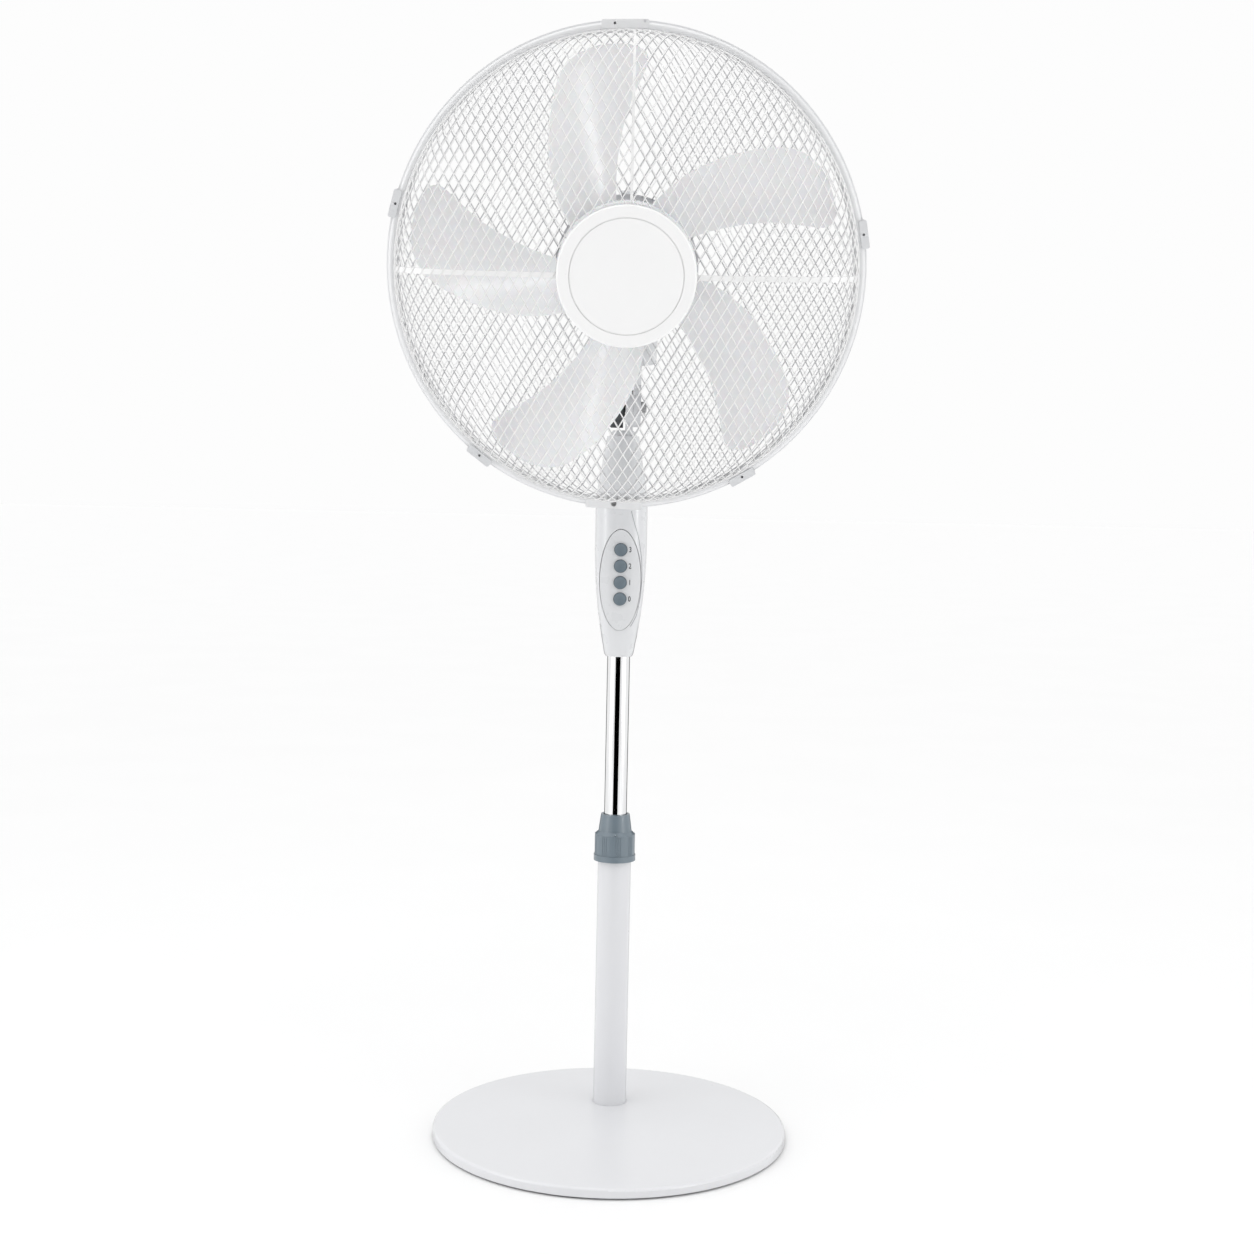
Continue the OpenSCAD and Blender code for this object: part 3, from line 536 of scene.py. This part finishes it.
# Shares of the full half width and half depth, against the share of the height.
WIDTH = [(0, 0.50), (0.01, 0.555), (0.05, 0.62), (0.12, 0.73), (0.25, 0.88), (0.37, 0.96),
         (0.5, 1), (0.66, 1), (0.76, 0.94), (0.88, 0.77), (1, 0.61)]
DEPTH = [(0, 0.50), (0.01, 0.555), (0.05, 0.66), (0.12, 0.84), (0.16, 0.95), (0.3, 1), (0.6, 1),
         (0.72, 0.93), (0.88, 0.74), (1, 0.62)]
SKIN = 0.0022
GAP = 0.0006
SEAM_HALF = 0.0001
BULGE = 2.5
housing_low, housing_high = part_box("housing_front")
HALF_W = (housing_high.x - housing_low.x) / 2
HALF_D = pole_at.y - housing_low.y
HOUSING_Z = housing_low.z
HOUSING_H = housing_high.z - housing_low.z
panel_low, panel_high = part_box("control_panel")


def housing_point(f, a, sign, inward):
    """Point of the housing at height share f and angle a; sign is 1 in front and -1 behind."""
    w = HALF_W * smooth_lookup(f, WIDTH) - inward
    d = HALF_D * smooth_lookup(f, DEPTH) - inward
    c, n = math.cos(a), math.sin(a)
    k = (abs(c) ** BULGE + abs(n) ** BULGE) ** (1 / BULGE)
    y = -sign * d * n / k
    y = min(y, -SEAM_HALF) if sign > 0 else max(y, SEAM_HALF)
    return np.array([w * c / k, y, HOUSING_Z + f * HOUSING_H])


def panel_cutter():
    """Oval prism that clears the control panel by the gap."""
    half_w = (panel_high.x - panel_low.x) / 2 + GAP
    half_h = (panel_high.z - panel_low.z) / 2 + GAP
    middle = (panel_high.z + panel_low.z) / 2
    count = 120
    solid = Solid()
    around = [2 * math.pi * i / count for i in range(count)]
    for y in (-0.05, -0.012):
        solid.verts.extend([np.array([half_w * math.cos(a), y, middle + half_h * math.sin(a)])
                            for a in around])
    for i in range(count):
        j = (i + 1) % count
        solid.faces.append((count + i, count + j, j, i))
    solid.faces.append(tuple(range(count)))
    solid.faces.append(tuple(count + i for i in reversed(range(count))))
    mesh = bpy.data.meshes.new("panel_opening")
    mesh.from_pydata([tuple(v) for v in solid.verts], [], solid.faces)
    mesh.transform(POLE)
    cutter = bpy.data.objects.new("panel_opening", mesh)
    scene.collection.objects.link(cutter)
    return cutter


def cut_away(piece, cutter):
    """Takes the cutter out of the piece, applies the result and deletes the cutter."""
    boolean = piece.modifiers.new("opening", "BOOLEAN")
    boolean.object = cutter
    boolean.operation = "DIFFERENCE"
    boolean.solver = "EXACT"
    bpy.context.view_layer.update()
    graph = bpy.context.evaluated_depsgraph_get()
    done = bpy.data.meshes.new_from_object(piece.evaluated_get(graph))
    piece.modifiers.clear()
    piece.data = done
    bpy.data.objects.remove(cutter)


def housing_skin(name, sign, node):
    """One half of the housing as a shell with an outer and an inner skin."""
    levels = np.concatenate([np.linspace(0, 0.02, 6)[:-1], np.linspace(0.02, 0.98, 110), [0.99, 1.0]])
    angles = np.linspace(0, math.pi, 73)
    rows, cols = len(levels), len(angles)
    solid = Solid()
    skins = [[[housing_point(np.float64(f), a, sign, t) for a in angles] for f in levels]
             for t in (0, SKIN)]
    outer = solid.grid(skins[0], flip=sign < 0)
    inner = solid.grid(skins[1], flip=sign > 0)
    ring = rim_ring(rows, cols)
    for (i, j), (m, n) in zip(ring, ring[1:] + ring[:1]):
        quad = (outer + i * cols + j, inner + i * cols + j, inner + m * cols + n, outer + m * cols + n)
        solid.faces.append(quad if sign > 0 else quad[::-1])
    return make_piece(name, solid.verts, solid.faces, "mast", "white_gloss", POLE, [node])


front_skin = housing_skin("housing_front_skin", 1, "housing_front")
cut_away(front_skin, panel_cutter())
rear_skin = housing_skin("housing_rear_skin", -1, "housing_rear")
for half in (front_skin, rear_skin):
    half.data.set_sharp_from_angle(angle=math.radians(35))


# Points (x, height above the housing's foot) that the crease runs through.
CREASE = [(0.0105, 0.158), (0.0125, 0.150), (0.0185, 0.131), (0.0225, 0.108), (0.0234, 0.088),
          (0.0222, 0.066), (0.0180, 0.045), (0.0120, 0.034)]


def crease():
    """Fine raised line that runs down the right of the control panel; its dark grey finish is painted shade along
    the crease.
    """
    knots = np.array(CREASE)
    t = np.linspace(0, len(knots) - 1, 60)
    xs = np.interp(t, range(len(knots)), knots[:, 0])
    heights = np.interp(t, range(len(knots)), knots[:, 1])
    path = []
    for x, z in zip(xs, heights):
        f = z / HOUSING_H
        w, d = HALF_W * smooth_lookup(f, WIDTH), HALF_D * smooth_lookup(f, DEPTH)
        path.append((x, -d * (1 - abs(x / w) ** BULGE) ** (1 / BULGE), HOUSING_Z + z))
    path = np.array(path)
    for _ in range(3):
        path[1:-1] = (path[:-2] + 2 * path[1:-1] + path[2:]) / 4
    solid = Solid()
    solid.tube(path, 0.0004, 8)
    piece = make_piece("housing_crease", solid.verts, solid.faces, "mast", "white_gloss", POLE)
    # Painted shade: the crease is coloured dark grey.
    piece.data.materials[0] = materials["crease_painted_shade"]


crease()


# ---------- digits beside the buttons ----------

DIGIT_SIZE = 0.0080
DIGIT_NARROW = 0.72
DIGIT_BESIDE = 0.0034
PANEL_CURVE_R = 0.06


def digit(text, button):
    """A raised digit to the right of a button, laid on the curved panel."""
    low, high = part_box(button)
    curve = bpy.data.curves.new("digit_" + text, "FONT")
    curve.body = text
    curve.size = DIGIT_SIZE
    curve.align_x = "CENTER"
    curve.align_y = "CENTER"
    curve.extrude = 0.00012
    curve.offset = 0.00008
    holder = bpy.data.objects.new("digit_curve", curve)
    scene.collection.objects.link(holder)
    bpy.context.view_layer.update()
    graph = bpy.context.evaluated_depsgraph_get()
    mesh = bpy.data.meshes.new_from_object(holder.evaluated_get(graph))
    bpy.data.objects.remove(holder)
    x = high.x + DIGIT_BESIDE
    bend = PANEL_CURVE_R - math.sqrt(PANEL_CURVE_R ** 2 - x ** 2)
    place = Matrix.Translation((x, panel_low.y + bend - 0.00005, (low.z + high.z) / 2))
    lean = Matrix.Rotation(math.asin(x / PANEL_CURVE_R), 4, "Z")
    upright = Matrix.Rotation(math.pi / 2, 4, "X")
    mesh.transform(place @ lean @ upright @ Matrix.Diagonal((DIGIT_NARROW, 1, 1, 1)))
    mesh.materials.clear()
    mesh.materials.append(materials["digit"])
    piece = bpy.data.objects.new("digit_" + text, mesh)
    scene.collection.objects.link(piece)
    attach(piece, "mast")


for index, text in enumerate("3210"):
    digit(text, f"button_{index}")


# ---------- studio ----------

# Light levels: the sky as seen, the sky as a light, and the side cards.
SKY_SEEN = 0.982
SKY_LIGHT = 0.82
SOFTBOX = 1.6
STRIP = 9.0
FLOOR_HALF = 40.0
SENSOR_MM = 36.0
LENS_MM = 52.929
CAMERA_AWAY = 2.0
CAMERA_UP = 0.6924
CAMERA_PITCH = math.radians(4.395)
CAMERA_YAW = math.radians(0.241)
CAMERA_ROLL = math.radians(1.204)


def floor():
    """Pale matt floor just under the feet."""
    solid = Solid()
    steps = np.linspace(-FLOOR_HALF, FLOOR_HALF, 9)
    solid.grid([[np.array([x, y, -0.0002]) for x in steps] for y in steps])
    mesh = bpy.data.meshes.new("floor")
    mesh.from_pydata([tuple(v) for v in solid.verts], [], solid.faces)
    material, tree, shader = new_material("floor")
    link(tree, tint(tree, noise(tree, 3, 2), (0.918, 0.918, 0.918), (0.926, 0.926, 0.926)),
         shader.inputs["Base Color"])
    link(tree, spread(tree, noise(tree, 40, 2), 0.75, 0.85), shader.inputs["Roughness"])
    shader.inputs["Specular IOR Level"].default_value = 0.1
    mesh.materials.append(material)
    obj = bpy.data.objects.new("floor", mesh)
    scene.collection.objects.link(obj)


def card(name, left, right, low, high, level, lights=False):
    """Upright studio card between two floor points; only reflections see it, unless it also lights."""
    (x0, y0), (x1, y1) = left, right
    mesh = bpy.data.meshes.new(name)
    mesh.from_pydata([(x0, y0, low), (x1, y1, low), (x1, y1, high), (x0, y0, high)], [], [(0, 1, 2, 3)])
    material, tree, shader = new_material(name)
    shader.inputs["Base Color"].default_value = (0, 0, 0, 1)
    shader.inputs["Roughness"].default_value = 1.0
    shader.inputs["Specular IOR Level"].default_value = 0.0
    shader.inputs["Emission Color"].default_value = (1, 1, 1, 1)
    shader.inputs["Emission Strength"].default_value = level
    mesh.materials.append(material)
    obj = bpy.data.objects.new(name, mesh)
    scene.collection.objects.link(obj)
    obj.visible_camera = False
    obj.visible_diffuse = lights
    obj.visible_shadow = False


def sky():
    """White surroundings: one level for what is seen or reflected, a lower one for the light."""
    world = bpy.data.worlds.new("studio")
    scene.world = world
    world.use_nodes = True
    tree = world.node_tree
    ground = tree.nodes["Background"]
    ground.inputs["Color"].default_value = (1, 1, 1, 1)
    path = tree.nodes.new("ShaderNodeLightPath")
    level = tree.nodes.new("ShaderNodeMapRange")
    level.inputs["To Min"].default_value = SKY_SEEN
    level.inputs["To Max"].default_value = SKY_LIGHT
    link(tree, path.outputs["Is Diffuse Ray"], level.inputs["Value"])
    link(tree, level.outputs["Result"], ground.inputs["Strength"])


def lights():
    """Broad overhead light."""
    data = bpy.data.lights.new("overhead", "SUN")
    data.energy = 0.8
    data.angle = math.radians(75)
    obj = bpy.data.objects.new("overhead", data)
    obj.rotation_euler = (math.radians(12), math.radians(-10), 0)
    scene.collection.objects.link(obj)


def camera():
    """Camera at the photograph's angle."""
    flat = math.cos(CAMERA_PITCH)
    forward = Vector((math.sin(CAMERA_YAW) * flat, math.cos(CAMERA_YAW) * flat, -math.sin(CAMERA_PITCH)))
    right = forward.cross(Vector((0, 0, 1))).normalized()
    up = right.cross(forward)
    side = math.cos(CAMERA_ROLL) * right + math.sin(CAMERA_ROLL) * up
    top = -math.sin(CAMERA_ROLL) * right + math.cos(CAMERA_ROLL) * up
    data = bpy.data.cameras.new("camera")
    data.sensor_width = SENSOR_MM
    data.lens = LENS_MM
    data.clip_end = 200
    obj = bpy.data.objects.new("camera", data)
    place = Matrix((side, top, -forward)).transposed().to_4x4()
    place.translation = Vector((0, pole_at.y - CAMERA_AWAY, CAMERA_UP))
    obj.matrix_world = place
    scene.collection.objects.link(obj)
    scene.camera = obj


floor()
card("flag_front", (-0.72, -1.25), (0.50, -1.25), 0.001, 0.42, 0.0)
card("flag_left", (-0.19, 0.30), (-0.036, 0.30), 0.28, 0.50, 0.02)
card("flag_right", (0.19, 0.30), (0.036, 0.30), 0.28, 0.50, 0.02)
card("strip_left", (-1.9, -1.20), (-1.9, -0.95), 0.3, 1.9, STRIP)
card("strip_right", (1.9, -1.20), (1.9, -0.95), 0.3, 1.9, 1.4 * STRIP)
card("strip_top", (-1.0, -1.1), (1.0, -1.1), 2.5, 3.0, 0.55 * STRIP)
card("dark_side", (-1.6, -4.0), (1.6, -4.0), 0.3, 3.0, 0.0, True)
card("softbox_left", (-1.9, -1.9), (-1.9, -0.2), 0.1, 2.3, SOFTBOX, True)
card("softbox_right", (1.9, -1.9), (1.9, -0.2), 0.1, 2.3, SOFTBOX, True)
sky()
lights()
camera()
scene.view_settings.view_transform = "Standard"
